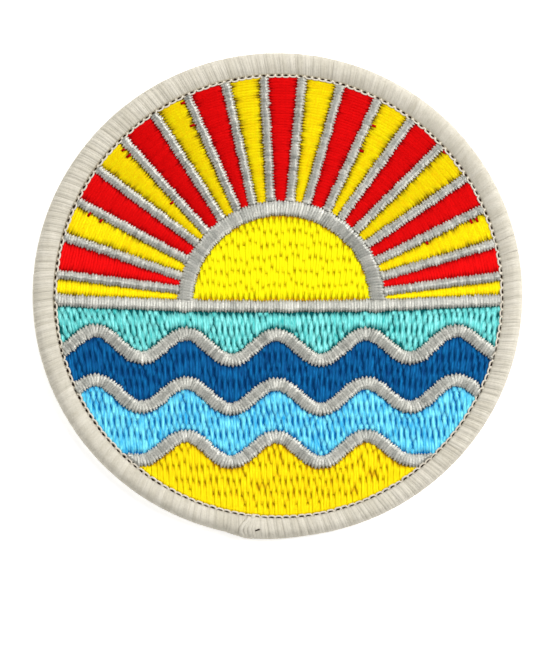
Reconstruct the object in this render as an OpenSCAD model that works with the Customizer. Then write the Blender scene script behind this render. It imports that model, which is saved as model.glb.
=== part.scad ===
// Round embroidered patch, a half sun with rays over a wavy sea, lying with its face up.
// Millimetres. The origin is under the middle of the patch, on the surface it lies on.
// +Z points out of the face and +Y to the top of the picture.

/* [Patch] */
// Diameter over the border, without the joint
patch_d = 76.2; // [70:0.1:90]
// Thickness of the backed twill
cloth_t = 1.0; // [0.8:0.05:1.3]
// Clearance between neighbouring pieces
gap = 0.05; // [0.03:0.01:0.08]

/* [Border] */
// Width of the wound border on the face
border_w = 3.15; // [2.8:0.05:4]
// Thread outside the edge of the cloth
edge_t = 1.1; // [0.8:0.05:1.5]
// Thread under the cloth
wrap_t = 0.3; // [0.2:0.05:0.5]
// Height of the border's crest over the cloth
cover_t = 1.0; // [0.8:0.05:1.3]
// Height of the border's inner edge over the cloth
foot_t = 0.45; // [0.25:0.05:0.6]

/* [Border joint] */
// How far the lapped end stands out of the round
joint_rise = 0.6; // [0.3:0.05:0.9]
// Where the lapped end stops, counted round from the right
joint_from = 262; // [250:0.5:265]
// How much of the border the lap takes up, in degrees
joint_sweep = 15; // [12:1:30]

/* [Stitching] */
// Height of the flat stitched fields over the cloth
fill_t = 0.5; // [0.35:0.05:0.6]
// Height of the grey columns' crown over the cloth
satin_t = 0.85; // [0.7:0.05:1]
// Height of the grey columns' sides over the cloth
side_t = 0.4; // [0.25:0.05:0.5]
// How far the picture's round sits below the middle of the border
picture_drop = 0.36; // [0:0.03:0.6]
// How far the picture's round sits to the right of the middle of the border
picture_x = 0.18; // [-0.5:0.02:0.5]

/* [Sun] */
// Radius of the arch, at the middle of its column
sun_r = 14.93; // [12:0.01:17]
// Width of the arch's column
arch_w = 2.3; // [1.8:0.05:3]
// How far the sun's centre lies to the right of the patch's centre
sun_x = 0.62; // [-2:0.02:2]
// How far the sun's centre lies above the middle of the horizon
sun_lift = 0.56; // [0:0.02:1]
// Width of a spoke
spoke_w = 1.25; // [0.9:0.05:1.6]

/* [Sea] */
// How far the middle of the horizon lies below the patch's centre
horizon_drop = 2.07; // [0:0.01:4]
// Width of the horizon's column
horizon_w = 1.7; // [1.4:0.05:2.4]
// How much the picture's level lines rise from the middle to the border
bow = 1.03; // [0:0.01:1.5]
// Height of the turquoise band, between column middles
turquoise_h = 6.48; // [5.5:0.02:7.5]
// Height of the dark blue band, between column middles
dark_blue_h = 7.7; // [6:0.1:9]
// Height of the light blue band, between column middles
light_blue_h = 8.25; // [6.5:0.05:9]
// Length of one wave
wave_length = 13.93; // [12:0.01:17]
// Height of a wave's crest over its middle
wave_rise = 2.06; // [1.2:0.02:2.3]
// Width of a wave's column
wave_w = 1.9; // [1.5:0.1:2.3]
// How far the middle crest lies to the left of the patch's centre
crest_shift = 0.22; // [-1:0.02:1]
// Waves from the middle crest to where the lowest line runs out level
last_crests = 1.5; // [1.5:1:2.5]

/* [Hidden] */
// One row for each spoke: angle of its outer end round the picture's centre,
// angle of its inner end round the sun's centre
SPOKES = [
  [174.4, 172.6], [164.5, 165.1], [154.6, 155.4], [144.7, 144.6], [134.5, 136.3], [124.1, 125.2],
  [114.4, 115.1], [103.9, 105.9], [93.8, 95.9], [83.9, 85.1], [73.7, 75.8], [63.4, 64],
  [53.2, 55.2], [43, 44.6], [32.5, 34.6], [23.3, 24], [13.7, 14.8], [5.1, 6.4]
];
OUTER = 0;
INNER = 1;
spokes = len(SPOKES);
// The rays lie between the spokes, yellow and red in turn, and start with yellow
yellow_rays = spokes / 2 + 1;
red_rays = spokes / 2;
// Wavy columns across the sea
waves = 3;

$fn = 96;
patch_r = patch_d / 2;
cloth_r = patch_r - edge_t - gap;
cloth_z = wrap_t + gap;
cloth_top = cloth_z + cloth_t;
thread_z = cloth_top + gap;
border_t = thread_z + cover_t;

// The picture is round and reaches to a gap inside the border
picture_r = patch_r - border_w - gap;
// Longer or wider than anything in the picture, for cutting
reach = 2 * patch_d;

horizon_y = -horizon_drop;
wave_1_y = horizon_y - turquoise_h;
wave_2_y = wave_1_y - dark_blue_h;
wave_3_y = wave_2_y - light_blue_h;
sun_y = horizon_y + sun_lift;
arch_in = sun_r - arch_w / 2;
arch_out = sun_r + arch_w / 2;

// Level lines of the picture: a shallow bow with or without waves on it
STEPS_A_WAVE = 14;
step = wave_length / STEPS_A_WAVE;
steps = ceil((picture_r + wave_w + crest_shift + picture_x) / step);
// A line is [height of its middle, height of its waves, how many waves run each way]
HORIZON = [horizon_y, 0, 1];
WAVES = [
  [wave_1_y, wave_rise, patch_d],
  [wave_2_y, wave_rise, patch_d],
  [wave_3_y, wave_rise, last_crests]
];
function rise(x) = bow * pow(x / picture_r, 2);
function turns(x, count) = sign(x) * min(abs(x) / wave_length, count) * 360;
function height(x, line) = line[0] + rise(x) + line[1] * cos(turns(x + crest_shift, line[2]));
function slope(x, line) =
  2 * bow * x / pow(picture_r, 2)
  - line[1] * 2 * PI / wave_length * sin(turns(x + crest_shift, line[2]));
// A line's point at x, moved along its own normal by side
function beside(x, line, side) =
  let (s = slope(x, line), n = sqrt(1 + s * s))
  [x - side * s / n, height(x, line) + side / n];
function path(line, side) =
  [for (i = [-steps:steps]) beside(i * step - crest_shift, line, side)];

// Where a column's top arc has its centre, for a column of width w
function crown_r(w) =
  let (drop = satin_t - side_t)
  (w * w / 4 + drop * drop) / (2 * drop);

// A point at an angle on a circle of radius r round [x, y]
function on_circle(x, y, r, angle) = [x + r * cos(angle), y + r * sin(angle)];
function outer_end(k) = on_circle(picture_x, -picture_drop, picture_r, SPOKES[k - 1][OUTER]);
function inner_end(k) = on_circle(sun_x, sun_y, arch_out, SPOKES[k - 1][INNER]);

// Section of a satin column, with its foot on the x axis
module satin_section(w) {
  intersection() {
    translate([0, satin_t - crown_r(w)]) circle(r = crown_r(w));
    translate([-w / 2, 0]) square([w, satin_t]);
  }
}

// The same section as points, for a column that follows a wavy line
CROWN_STEPS = 6;
function satin_points(w) = concat(
  [[-w / 2, 0]],
  [for (i = [0:CROWN_STEPS])
    let (x = w * (i / CROWN_STEPS - 0.5))
    [x, satin_t - crown_r(w) + sqrt(pow(crown_r(w), 2) - x * x)]],
  [[w / 2, 0]]
);

// A satin column along a level line, past both sides of the picture
module level_column(line, w) {
  section = satin_points(w);
  m = len(section);
  n = 2 * steps + 1;
  points = [
    for (i = [-steps:steps]) for (p = section)
      let (q = beside(i * step - crest_shift, line, -p[0]))
      [q[0], q[1], thread_z + p[1]]
  ];
  walls = [
    for (i = [0:n - 2]) for (j = [0:m - 1])
      let (a = i * m + j, b = i * m + (j + 1) % m)
      each [[a, b, b + m], [a, b + m, a + m]]
  ];
  ends = [
    for (j = [1:m - 2])
      each [[0, j + 1, j], [(n - 1) * m, (n - 1) * m + j, (n - 1) * m + j + 1]]
  ];
  polyhedron(points = points, faces = concat(walls, ends), convexity = 8);
}

module picture_disc() {
  translate([picture_x, -picture_drop]) circle(r = picture_r);
}

// The part of the picture over the horizon, in plan
module sky() {
  edge = path(HORIZON, horizon_w / 2 + gap);
  intersection() {
    picture_disc();
    polygon(concat(edge, [[reach, reach], [-reach, reach]]));
  }
}

// The part of the picture outside the arch, in plan
module sky_outside_arch() {
  difference() {
    sky();
    translate([sun_x, sun_y]) circle(r = arch_out + gap);
  }
}

// The part of the picture between two level lines, clear of both columns, in plan
module band(upper, upper_w, lower, lower_w) {
  top = path(upper, -upper_w / 2 - gap);
  low = path(lower, lower_w / 2 + gap);
  intersection() {
    picture_disc();
    polygon(concat(low, [for (i = [len(top) - 1:-1:0]) top[i]]));
  }
}

// A flat stitched field from its outline in plan
module field() {
  translate([0, 0, thread_z]) linear_extrude(fill_t) children();
}

// What lies outside spoke k on the side of ray k, or of ray k - 1, in plan
module beyond_spoke(k, side) {
  from = inner_end(k);
  way = outer_end(k) - from;
  clear = side * (spoke_w / 2 + gap);
  translate(from) rotate(atan2(way[1], way[0]))
    translate([-reach, side > 0 ? clear : clear - 2 * reach]) square(2 * reach);
}

// Ray k lies between spoke k and spoke k + 1; the first and last lie on the horizon
module ray(k) {
  field() intersection() {
    sky_outside_arch();
    if (k > 0) beyond_spoke(k, -1);
    if (k < spokes) beyond_spoke(k + 1, 1);
  }
}

module base_cloth() {
  color("ivory") translate([0, 0, cloth_z]) cylinder(r = cloth_r, h = cloth_t);
}

// Section of the border: a round outer edge, an arched top and a slot for the cloth
module border_section() {
  roll_x = patch_r - border_t / 2;
  // The top stays arched past the border's widest place
  inner_x = patch_r - border_w - norm([picture_x, picture_drop]) - joint_rise;
  run = roll_x - (patch_r - border_w);
  drop = cover_t - foot_t;
  arch = (run * run + drop * drop) / (2 * drop);
  difference() {
    union() {
      translate([roll_x, border_t / 2]) circle(d = border_t);
      intersection() {
        translate([roll_x, border_t - arch]) circle(r = arch);
        translate([inner_x, cloth_z]) square([roll_x - inner_x, border_t - cloth_z]);
      }
      translate([patch_r - border_w, 0]) square([roll_x - patch_r + border_w, border_t / 2]);
    }
    translate([inner_x - gap, wrap_t])
      square([cloth_r + gap - inner_x + gap, cloth_t + 2 * gap]);
  }
}

// The whole border, cut on its face to clear the picture
module border_round(x = 0, y = 0) {
  difference() {
    translate([x, y, 0]) rotate_extrude() border_section();
    translate([picture_x, -picture_drop, cloth_z + cloth_t / 2])
      cylinder(r = picture_r + gap, h = border_t);
  }
}

// A wedge between two angles, past the border on every side
WEDGE_SIDES = 4;
module wedge(from, to) {
  translate([0, 0, -border_t])
    linear_extrude(3 * border_t)
      polygon([
        [0, 0],
        for (i = [0:WEDGE_SIDES]) on_circle(0, 0, patch_d, from + (to - from) * i / WEDGE_SIDES)
      ]);
}

module merrow_border() {
  space = gap / patch_r * 180 / PI;
  color("antiquewhite") difference() {
    border_round();
    wedge(joint_from - space, joint_from + joint_sweep + space);
  }
}

// The lap is the border moved along its far end, so it grows out of the round
module border_joint() {
  far_end = joint_from + joint_sweep;
  move = joint_rise / sin(joint_sweep);
  color("linen") intersection() {
    border_round(move * sin(far_end), -move * cos(far_end));
    wedge(joint_from, far_end);
  }
}

module sun_fill() {
  color("yellow") field() intersection() {
    sky();
    translate([sun_x, sun_y]) circle(r = arch_in - gap);
  }
}

module sun_arch() {
  color("gainsboro") intersection() {
    translate([sun_x, sun_y, thread_z])
      rotate_extrude() translate([sun_r, 0]) satin_section(arch_w);
    translate([0, 0, thread_z]) linear_extrude(satin_t) sky();
  }
}

module horizon() {
  color("silver") intersection() {
    level_column(HORIZON, horizon_w);
    translate([0, 0, thread_z]) linear_extrude(satin_t) picture_disc();
  }
}

module wave_column(k) {
  color("silver") intersection() {
    level_column(WAVES[k - 1], wave_w);
    translate([0, 0, thread_z]) linear_extrude(satin_t) picture_disc();
  }
}

module spoke(k) {
  from = inner_end(k);
  way = outer_end(k) - from;
  color("gainsboro") intersection() {
    translate([from[0], from[1], thread_z])
      rotate([90, 0, atan2(way[1], way[0]) + 90])
        translate([0, 0, -2 * norm(way)])
          linear_extrude(4 * norm(way)) satin_section(spoke_w);
    translate([0, 0, thread_z]) linear_extrude(satin_t) sky_outside_arch();
    // Only the half of the sky that the spoke crosses
    translate([from[0], from[1], 0])
      rotate(atan2(way[1], way[0]))
        translate([-sun_r / 2, -spoke_w, 0]) cube([reach, 2 * spoke_w, border_t]);
  }
}

module ray_yellow(k) {
  color("gold") ray(2 * k - 2);
}

module ray_red(k) {
  color("red") ray(2 * k - 1);
}

module sea_turquoise() {
  color("mediumturquoise") field()
    band(HORIZON, horizon_w, WAVES[0], wave_w);
}

module sea_dark_blue() {
  color("steelblue") field()
    band(WAVES[0], wave_w, WAVES[1], wave_w);
}

module sea_light_blue() {
  color("deepskyblue") field()
    band(WAVES[1], wave_w, WAVES[2], wave_w);
}

module sand() {
  edge = path(WAVES[2], -wave_w / 2 - gap);
  color("goldenrod") field() intersection() {
    picture_disc();
    polygon(concat([[-reach, -reach]], edge, [[reach, -reach]]));
  }
}

base_cloth();
merrow_border();
border_joint();
sun_fill();
sun_arch();
horizon();
sea_turquoise();
sea_dark_blue();
sea_light_blue();
sand();
for (k = [1:waves]) wave_column(k);
for (k = [1:spokes]) spoke(k);
for (k = [1:yellow_rays]) ray_yellow(k);
for (k = [1:red_rays]) ray_red(k);
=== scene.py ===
import math
from collections import namedtuple

import bpy
import numpy as np
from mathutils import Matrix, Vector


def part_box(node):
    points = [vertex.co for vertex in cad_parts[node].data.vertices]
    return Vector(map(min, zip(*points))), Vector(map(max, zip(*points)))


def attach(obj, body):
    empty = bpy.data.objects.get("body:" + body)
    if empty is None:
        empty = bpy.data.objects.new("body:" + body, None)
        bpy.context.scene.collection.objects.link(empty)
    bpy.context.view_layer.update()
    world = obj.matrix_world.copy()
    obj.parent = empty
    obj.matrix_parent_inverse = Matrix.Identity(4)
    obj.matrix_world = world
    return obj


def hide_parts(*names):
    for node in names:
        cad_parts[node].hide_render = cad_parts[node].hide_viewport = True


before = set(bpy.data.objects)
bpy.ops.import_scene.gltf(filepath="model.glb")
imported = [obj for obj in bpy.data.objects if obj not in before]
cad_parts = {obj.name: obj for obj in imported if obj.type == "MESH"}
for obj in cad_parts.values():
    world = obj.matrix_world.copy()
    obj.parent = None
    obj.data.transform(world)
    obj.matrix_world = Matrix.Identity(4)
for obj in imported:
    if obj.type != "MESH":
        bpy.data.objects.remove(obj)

bl_info = {
    "name": "Embroidered patch",
    "version": (1, 0, 0),
    "blender": (4, 5, 0),
    "location": "View3D > Sidebar > Patch",
    "description": "Dresses the patch's solids in thread: satin columns, filled fields and a wound border",
    "category": "Object",
}

MM = 0.001
DEGREE = math.radians(1)
# Points closer than this are the same point of a solid, and of the padding made from it
TOUCH = 0.0001 * MM
MERGE = 0.002 * MM
# The photograph's frame in pixels
IMAGE_W, IMAGE_H = 555, 650

# Places that come from the frame
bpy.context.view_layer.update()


def points_of(node):
    """The vertices of a solid."""
    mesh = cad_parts[node].data
    flat = np.empty(3 * len(mesh.vertices))
    mesh.vertices.foreach_get("co", flat)
    return flat.reshape(-1, 3)


def circle_through(points):
    """Centre and radius of the circle that fits the points in plan."""
    x, y = points[:, 0], points[:, 1]
    terms = np.column_stack([2 * x, 2 * y, np.ones(len(x))])
    a, b, c = np.linalg.lstsq(terms, x * x + y * y, rcond=None)[0]
    return np.array([a, b]), math.sqrt(c + a * a + b * b)


PATCH_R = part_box("merrow_border")[1].x
BORDER_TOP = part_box("merrow_border")[1].z
PATCH_MIDDLE_Z = BORDER_TOP / 2
CLOTH_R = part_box("base_cloth")[1].x
THREAD_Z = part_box("horizon")[0].z
COLUMN_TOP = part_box("horizon")[1].z
FIELD_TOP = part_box("sand")[1].z
# The border's rounded edge: its radius, and how far out its middle lies
ROLL_R = BORDER_TOP / 2
ROLL_X = PATCH_R - ROLL_R
BORDER_POINTS = points_of("merrow_border")
BORDER_REACH = np.hypot(BORDER_POINTS[:, 0], BORDER_POINTS[:, 1])
BORDER_LEVEL = BORDER_POINTS[:, 2]
AT_THREADS = np.abs(BORDER_LEVEL - THREAD_Z) < 10 * TOUCH
# The foot of the border's inner wall is the picture's circle
PICTURE_CENTRE, PICTURE_R = circle_through(BORDER_POINTS[AT_THREADS & (BORDER_REACH < ROLL_X - ROLL_R)])
# The border's face is an arch: its middle, as distance and height, and its radius
ON_FACE = (BORDER_LEVEL > THREAD_Z + 0.1 * MM) & (BORDER_REACH < ROLL_X)
FACE_MIDDLE, FACE_ARCH = circle_through(np.column_stack([BORDER_REACH[ON_FACE], BORDER_LEVEL[ON_FACE]]))
SUN_LOW, SUN_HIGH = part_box("sun_arch")
ARCH_OUT = (SUN_HIGH.x - SUN_LOW.x) / 2
SUN_CENTRE = np.array([(SUN_HIGH.x + SUN_LOW.x) / 2, SUN_HIGH.y - ARCH_OUT])
# The sun reaches to the arch's inner edge, and the arch's middle lies halfway from there to its outer one
SUN_R = (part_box("sun_fill")[1].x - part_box("sun_fill")[0].x) / 2
ARCH_MIDDLE_R = (ARCH_OUT + SUN_R) / 2
SPOKE_COUNT = sum(n.startswith("spoke_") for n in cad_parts)
SPOKES = [f"spoke_{number}" for number in range(1, SPOKE_COUNT + 1)]
RAYS = sorted(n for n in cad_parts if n.startswith("ray_"))
WAVES = sorted(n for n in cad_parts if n.startswith("wave_"))


def paint(code):
    """Linear colour of an sRGB hex code."""
    parts = [int(code[i:i + 2], 16) / 255 for i in (0, 2, 4)]
    return tuple(p / 12.92 if p <= 0.04045 else ((p + 0.055) / 1.055) ** 2.4 for p in parts)


def length(name, description, default):
    return bpy.props.FloatProperty(name=name, description=description, default=default, unit="LENGTH")


def angle(name, description, default):
    return bpy.props.FloatProperty(name=name, description=description, default=default, unit="ROTATION")


def share(name, description, default):
    return bpy.props.FloatProperty(name=name, description=description, default=default, subtype="FACTOR")


def power(name, description, default):
    return bpy.props.FloatProperty(name=name, description=description, default=default, unit="POWER")


def whole(name, description, default):
    return bpy.props.IntProperty(name=name, description=description, default=default, min=1)


def colour(name, description, code):
    return bpy.props.FloatVectorProperty(
        name=name, description=description, default=paint(code), size=3, subtype="COLOR", min=0, max=1)


class PatchStitches(bpy.types.PropertyGroup):
    """Sizes of the stitches."""
    satin_pitch: length("Satin pitch", "From stitch to stitch along the wide grey columns", 0.445 * MM)
    spoke_pitch: length("Spoke pitch", "From stitch to stitch along a spoke", 0.47 * MM)
    ray_pitch: length("Ray pitch", "From stitch to stitch along a ray", 0.445 * MM)
    fill_pitch: length("Fill pitch", "From line to line of the filled fields", 0.445 * MM)
    fill_length: length("Fill length", "From needle hole to needle hole along a line", 4.2 * MM)
    spread: share("Spread", "Half the width of a fill thread, as a share of the pitch", 0.88)
    waist: share("Waist", "Width of a fill stitch between its neighbours' holes, as a share", 0.78)
    satin_spread: share("Satin spread", "Half the width of a satin thread, as a share of the pitch", 0.82)
    spoke_spread: share("Spoke spread", "Half the width of a spoke's thread, as a share of the pitch", 0.9)
    ray_spread: share("Ray spread", "Half the width of a ray's thread, as a share of the pitch", 0.84)
    thread_h: length("Thread height", "Half the height of a thread that lies spread", 0.13 * MM)
    ray_h: length("Ray height", "Half the height of a ray's thread", 0.1 * MM)
    edge_depth: length("Edge depth", "How far a stitch sinks where its field ends", 0.03 * MM)
    edge_dip: length("Edge dip", "Length over which a stitch sinks where its field ends", 1.5 * MM)
    tuck: length("Tuck", "How far a field's stitch runs under the column beside it", 0.3 * MM)
    tooth: length("Tooth", "How far the column stitches reach over their neighbours", 0.16 * MM)
    tooth_spread: length("Tooth spread", "How much that varies", 0.065 * MM)


class PatchBorder(bpy.types.PropertyGroup):
    """Sizes of the wound border and its inner chain."""
    loops: whole("Loops", "Loops round the border", 190)
    threads: whole("Threads", "Threads side by side in a loop", 3)
    thread_w: length("Thread width", "Half the width of a border thread", 0.34 * MM)
    thread_h: length("Thread height", "Half the height of a border thread", 0.115 * MM)
    tilt: angle("Tilt", "How far round a wrap runs on its way over the face", 0.8 * DEGREE)
    lap_slant: angle("Lap slant", "How far back the last wrap of the lap runs", 0.5 * DEGREE)
    lap_bow: angle("Lap bow", "How far back the middle of the lap's last wrap lies", 1.3 * DEGREE)
    chain_w: length("Chain width", "Half the width of the chain's thread", 0.13 * MM)
    chain_reach: length("Chain reach", "From the border to the middle of the chain's loops", 0.43 * MM)
    hole_reach: length("Hole reach", "From the border to the middle of the needle holes", 0.17 * MM)
    hole_w: length("Hole width", "Half the width of a needle hole", 0.17 * MM)
    seam_w: length("Seam width", "Width of the seam under the chain", 0.42 * MM)


class PatchColours(bpy.types.PropertyGroup):
    """Light and dark colour of each thread, and the painted shade colour that its holes, gaps and padding
    take.
    """
    border: colour("Border", "Wound border", "F2ECDE")
    border_dark: colour("Border, dark", "Dark strands of the border", "C2BBA8")
    # Painted shade: the colour that the border's needle pits take.
    border_deep: colour("Border, deep", "Between the border's strands", "8E8672")
    # Painted shade: the near-black of the needle holes, drawn as dark strands.
    hole: colour("Hole", "Needle holes along the border", "30221C")
    chain: colour("Chain", "Chain along the border", "F8EEDC")
    # Partly painted shade: the seam is darker than the border, for the gaps in the chain above it.
    seam: colour("Seam", "Seam under the chain", "B4AA92")
    grey: colour("Grey", "Satin columns", "E8E6DC")
    # This dark colour also gives the painted shade of the columns' darker crowns.
    grey_dark: colour("Grey, dark", "Dark strands of the columns", "7E807A")
    # Painted shade: the colour of the columns' padding, seen in the gaps along their sides.
    grey_deep: colour("Grey, deep", "Sides of the columns", "8A8880")
    # For each thread below, the third colour is painted shade: its holes, the gaps between its stitches and
    # its padding take it.
    sun: colour("Sun", "Sun", "EEE604")
    sun_dark: colour("Sun, dark", "Dark strands of the sun", "E8DC02")
    sun_deep: colour("Sun, deep", "Holes of the sun", "DEA202")
    yellow: colour("Yellow", "Yellow rays", "FFF206")
    yellow_dark: colour("Yellow, dark", "Dark strands of the yellow rays", "FAC802")
    yellow_deep: colour("Yellow, deep", "Holes of the yellow rays", "7A5E10")
    red: colour("Red", "Red rays", "F00608")
    red_dark: colour("Red, dark", "Dark strands of the red rays", "D40204")
    red_deep: colour("Red, deep", "Holes of the red rays", "A80408")
    turquoise: colour("Turquoise", "Upper sea", "9AF8F4")
    turquoise_dark: colour("Turquoise, dark", "Dark strands of the upper sea", "34B4B2")
    turquoise_deep: colour("Turquoise, deep", "Holes of the upper sea", "086062")
    dark_blue: colour("Dark blue", "Middle sea", "0C6CA8")
    dark_blue_dark: colour("Dark blue, dark", "Dark strands of the middle sea", "023A72")
    dark_blue_deep: colour("Dark blue, deep", "Holes of the middle sea", "01386E")
    light_blue: colour("Light blue", "Lower sea", "8CF4FC")
    light_blue_dark: colour("Light blue, dark", "Dark strands of the lower sea", "22A6E2")
    light_blue_deep: colour("Light blue, deep", "Holes of the lower sea", "046CB6")
    sand: colour("Sand", "Sand", "F6E00A")
    sand_dark: colour("Sand, dark", "Dark strands of the sand", "F0CC02")
    sand_deep: colour("Sand, deep", "Holes of the sand", "CE920A")
    twill: colour("Twill", "Base cloth", "DAD4C2")
    floor: colour("Floor", "Floor", "FFFFFF")


class PatchStage(bpy.types.PropertyGroup):
    """Camera and light."""
    elevation: angle("Elevation", "How high the camera stands over the floor", 81.5 * DEGREE)
    distance: length("Distance", "From the camera to the patch", 1.0)
    frame_w: length("Frame width", "Width that the picture takes in", 86.2 * MM)
    aim_drop: length("Aim drop", "How far below the patch's middle the camera aims", 4.9 * MM)
    key_power: power("Key light", "Power of the right light", 5.45)
    side_power: power("Side light", "Power of the left light", 1.9)
    top_power: power("Top light", "Power of the far light", 2.8)
    sky: share("Sky", "Strength of the light from all round", 0.25)
    glow: share("Floor glow", "Strength of the floor's own light", 0.45)


def stitches():
    return bpy.context.scene.patch_stitches


def colours():
    return bpy.context.scene.patch_colours


def tints_of(name):
    """Light and dark colour of a thread, and its painted shade colour."""
    return [getattr(colours(), name + tail) for tail in ("", "_dark", "_deep")]


class Signal:
    """A node's output. Arithmetic on it adds the Math nodes."""

    def __init__(self, net, socket):
        self.net = net
        self.socket = socket

    def math(self, operation, *values):
        return self.net.add("ShaderNodeMath", {"operation": operation}, dict(enumerate(values)))

    def __add__(self, other):
        return self.math("ADD", self, other)

    __radd__ = __add__

    def __mul__(self, other):
        return self.math("MULTIPLY", self, other)

    __rmul__ = __mul__

    def __sub__(self, other):
        return self.math("SUBTRACT", self, other)

    def __rsub__(self, other):
        return self.math("SUBTRACT", other, self)

    def sine(self):
        return self.math("SINE", self)

    def clamped(self):
        return self.net.add("ShaderNodeClamp", {}, {"Value": self})


class Net:
    """A material's node tree."""

    def __init__(self, name):
        self.material = bpy.data.materials.new(name)
        self.material.use_nodes = True
        self.tree = self.material.node_tree
        self.tree.nodes.clear()

    def add(self, kind, settings, sockets, output=None):
        """Adds a node, sets it up, fills its sockets with values or links and returns an output."""
        node = self.tree.nodes.new(kind)
        for name, value in settings.items():
            setattr(node, name, value)
        for key, value in sockets.items():
            socket = node.inputs[key] if isinstance(key, int) else self.socket(node.inputs, key)
            if isinstance(value, Signal):
                self.tree.links.new(value.socket, socket)
            elif socket.type == "RGBA" and len(value) == 3:
                socket.default_value = (*value, 1)
            else:
                socket.default_value = value
        if not node.outputs:
            return None
        return Signal(self, self.socket(node.outputs, output) if output else node.outputs[0])

    def socket(self, sockets, key):
        return next(s for s in sockets if key in (s.identifier, s.name))

    def blend(self, factor, a, b):
        """Goes from colour a to colour b."""
        return self.add(
            "ShaderNodeMix", {"data_type": "RGBA"},
            {"Factor_Float": factor, "A_Color": a, "B_Color": b}, "Result_Color")

    def attribute(self, name):
        return self.add("ShaderNodeAttribute", {"attribute_name": name}, {}, "Fac")

    def place(self):
        return self.add("ShaderNodeTexCoord", {}, {}, "Object")

    def plan(self, vector):
        """X and Y of a vector."""
        x = self.add("ShaderNodeSeparateXYZ", {}, {"Vector": vector}, "X")
        return x, Signal(self, x.socket.node.outputs["Y"])

    def noise(self, grain):
        """Noise with grains of that size."""
        return self.add(
            "ShaderNodeTexNoise", {},
            {"Vector": self.place(), "Scale": 1 / grain, "Detail": 2.0}, "Fac")

    def finish(self, sockets):
        shader = self.add("ShaderNodeBsdfPrincipled", {}, sockets)
        self.add("ShaderNodeOutputMaterial", {}, {"Surface": shader})
        return self.material


# Fibres of a thread: how many go round it, how often they turn in a metre, how deep they are and how
# large their fluff is
FIBRES = 26
TWIST = 1.6 / MM
FIBRE_DEPTH = 0.016 * MM
FLUFF = 0.12 * MM
# How far across the patch a thread's pattern of streaks becomes another one
STREAK_RUN = 0.5 * MM


def thread(name, light, dark, shade_tint, shine=0.4, mottle=0.55 * MM, roughness=0.42, grained=1.6, mottled=0.4,
           toned=0.35, streaks=12, streak=0.22 * MM):
    """Thread: strands vary from light to dark, and take the painted shade colour where they go down into
    holes and gaps.

    grained, mottled and toned are the strengths of its streaks, its patches and its strands' own tones.
    mottle is how large the patches are, streaks how many streaks go round a strand, and streak how long
    they are.
    """
    net = Net(name)
    tone = net.attribute("tone")
    sink = net.attribute("sink")
    patches = net.noise(mottle)
    fibre = net.noise(FLUFF)
    along, around = net.plan(net.add("ShaderNodeUVMap", {"uv_map": "thread"}, {}))
    place_x, _ = net.plan(net.place())
    streak_place = net.add("ShaderNodeCombineXYZ", {}, {
        "X": along * (1 / streak), "Y": around * streaks, "Z": place_x * (1 / STREAK_RUN)})
    strips = net.add("ShaderNodeTexNoise", {}, {"Vector": streak_place, "Scale": 1.0, "Detail": 1.0}, "Fac")
    middle = (1 - toned - mottled - grained) / 2
    shade = (tone * toned + patches * mottled + strips * grained + middle).clamped()
    body = net.blend(shade, tuple(dark), tuple(light))
    # Painted shade: where a strand goes down into a hole or gap, its colour goes to the shade colour.
    base = net.blend(sink.clamped(), body, tuple(shade_tint))
    ridges = ((along * TWIST + around * FIBRES) * (2 * math.pi)).sine()
    normal = net.add(
        "ShaderNodeBump", {},
        {"Strength": 1.0, "Distance": FIBRE_DEPTH, "Height": ridges * 0.4 + fibre * 0.6}, "Normal")
    return net.finish({
        "Base Color": base,
        "Metallic": shine,
        "Roughness": fibre * 0.2 + (roughness - 0.1),
        "Specular IOR Level": 0.06,
        "Normal": normal,
    })


def painted_shade_material(name, shade_tint):
    """The padding below the stitches, in painted shade: its dark colour stands for the shade in the gaps
    between them.
    """
    net = Net(name)
    grain = net.noise(0.3 * MM)
    base = net.blend(grain, tuple(c * 0.85 for c in shade_tint), tuple(shade_tint))
    return net.finish({"Base Color": base, "Roughness": grain * 0.1 + 0.75, "Specular IOR Level": 0.05})


def twill_material(name, ground):
    """Twill with diagonal ribs, bonded at the back."""
    net = Net(name)
    x, y = net.plan(net.place())
    rib_width = 0.55 * MM
    yarn_width = 0.3 * MM
    ribs = ((x + y) * (2 * math.pi / rib_width)).sine()
    yarns = ((x - y * 0.4) * (2 * math.pi / yarn_width)).sine()
    weave = ribs * 0.35 + yarns * 0.15 + 0.5
    grain = net.noise(0.8 * MM)
    base = net.blend((weave * 0.6 + grain * 0.4).clamped(), tuple(c * 0.72 for c in ground), tuple(ground))
    normal = net.add(
        "ShaderNodeBump", {}, {"Strength": 0.8, "Distance": 0.05 * MM, "Height": weave}, "Normal")
    return net.finish({"Base Color": base, "Roughness": grain * 0.1 + 0.7, "Normal": normal})


def only(*objects):
    """Selects these objects alone and makes the first the active one."""
    if bpy.context.mode != "OBJECT":
        bpy.ops.object.mode_set(mode="OBJECT")
    bpy.ops.object.select_all(action="DESELECT")
    for o in objects:
        o.select_set(True)
    bpy.context.view_layer.objects.active = objects[0]


def give(piece, *materials):
    """Puts the materials in the piece's slots."""
    piece.data.materials.clear()
    for material in materials:
        piece.data.materials.append(material)


def seated(parts, name, slot, nodes=()):
    """Joins the parts into the piece that stands for the nodes, and lets it ride on the body."""
    only(*parts)
    if len(parts) > 1:
        bpy.ops.object.join()
    piece = parts[0]
    piece.name = piece.data.name = name
    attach(piece, "root")
    if nodes:
        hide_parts(*nodes)
    return piece


def random_for(name):
    """Random numbers that are the same in every run."""
    return np.random.default_rng(list(name.encode()))


def unit(vectors):
    return vectors / np.linalg.norm(vectors, axis=-1, keepdims=True)


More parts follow.
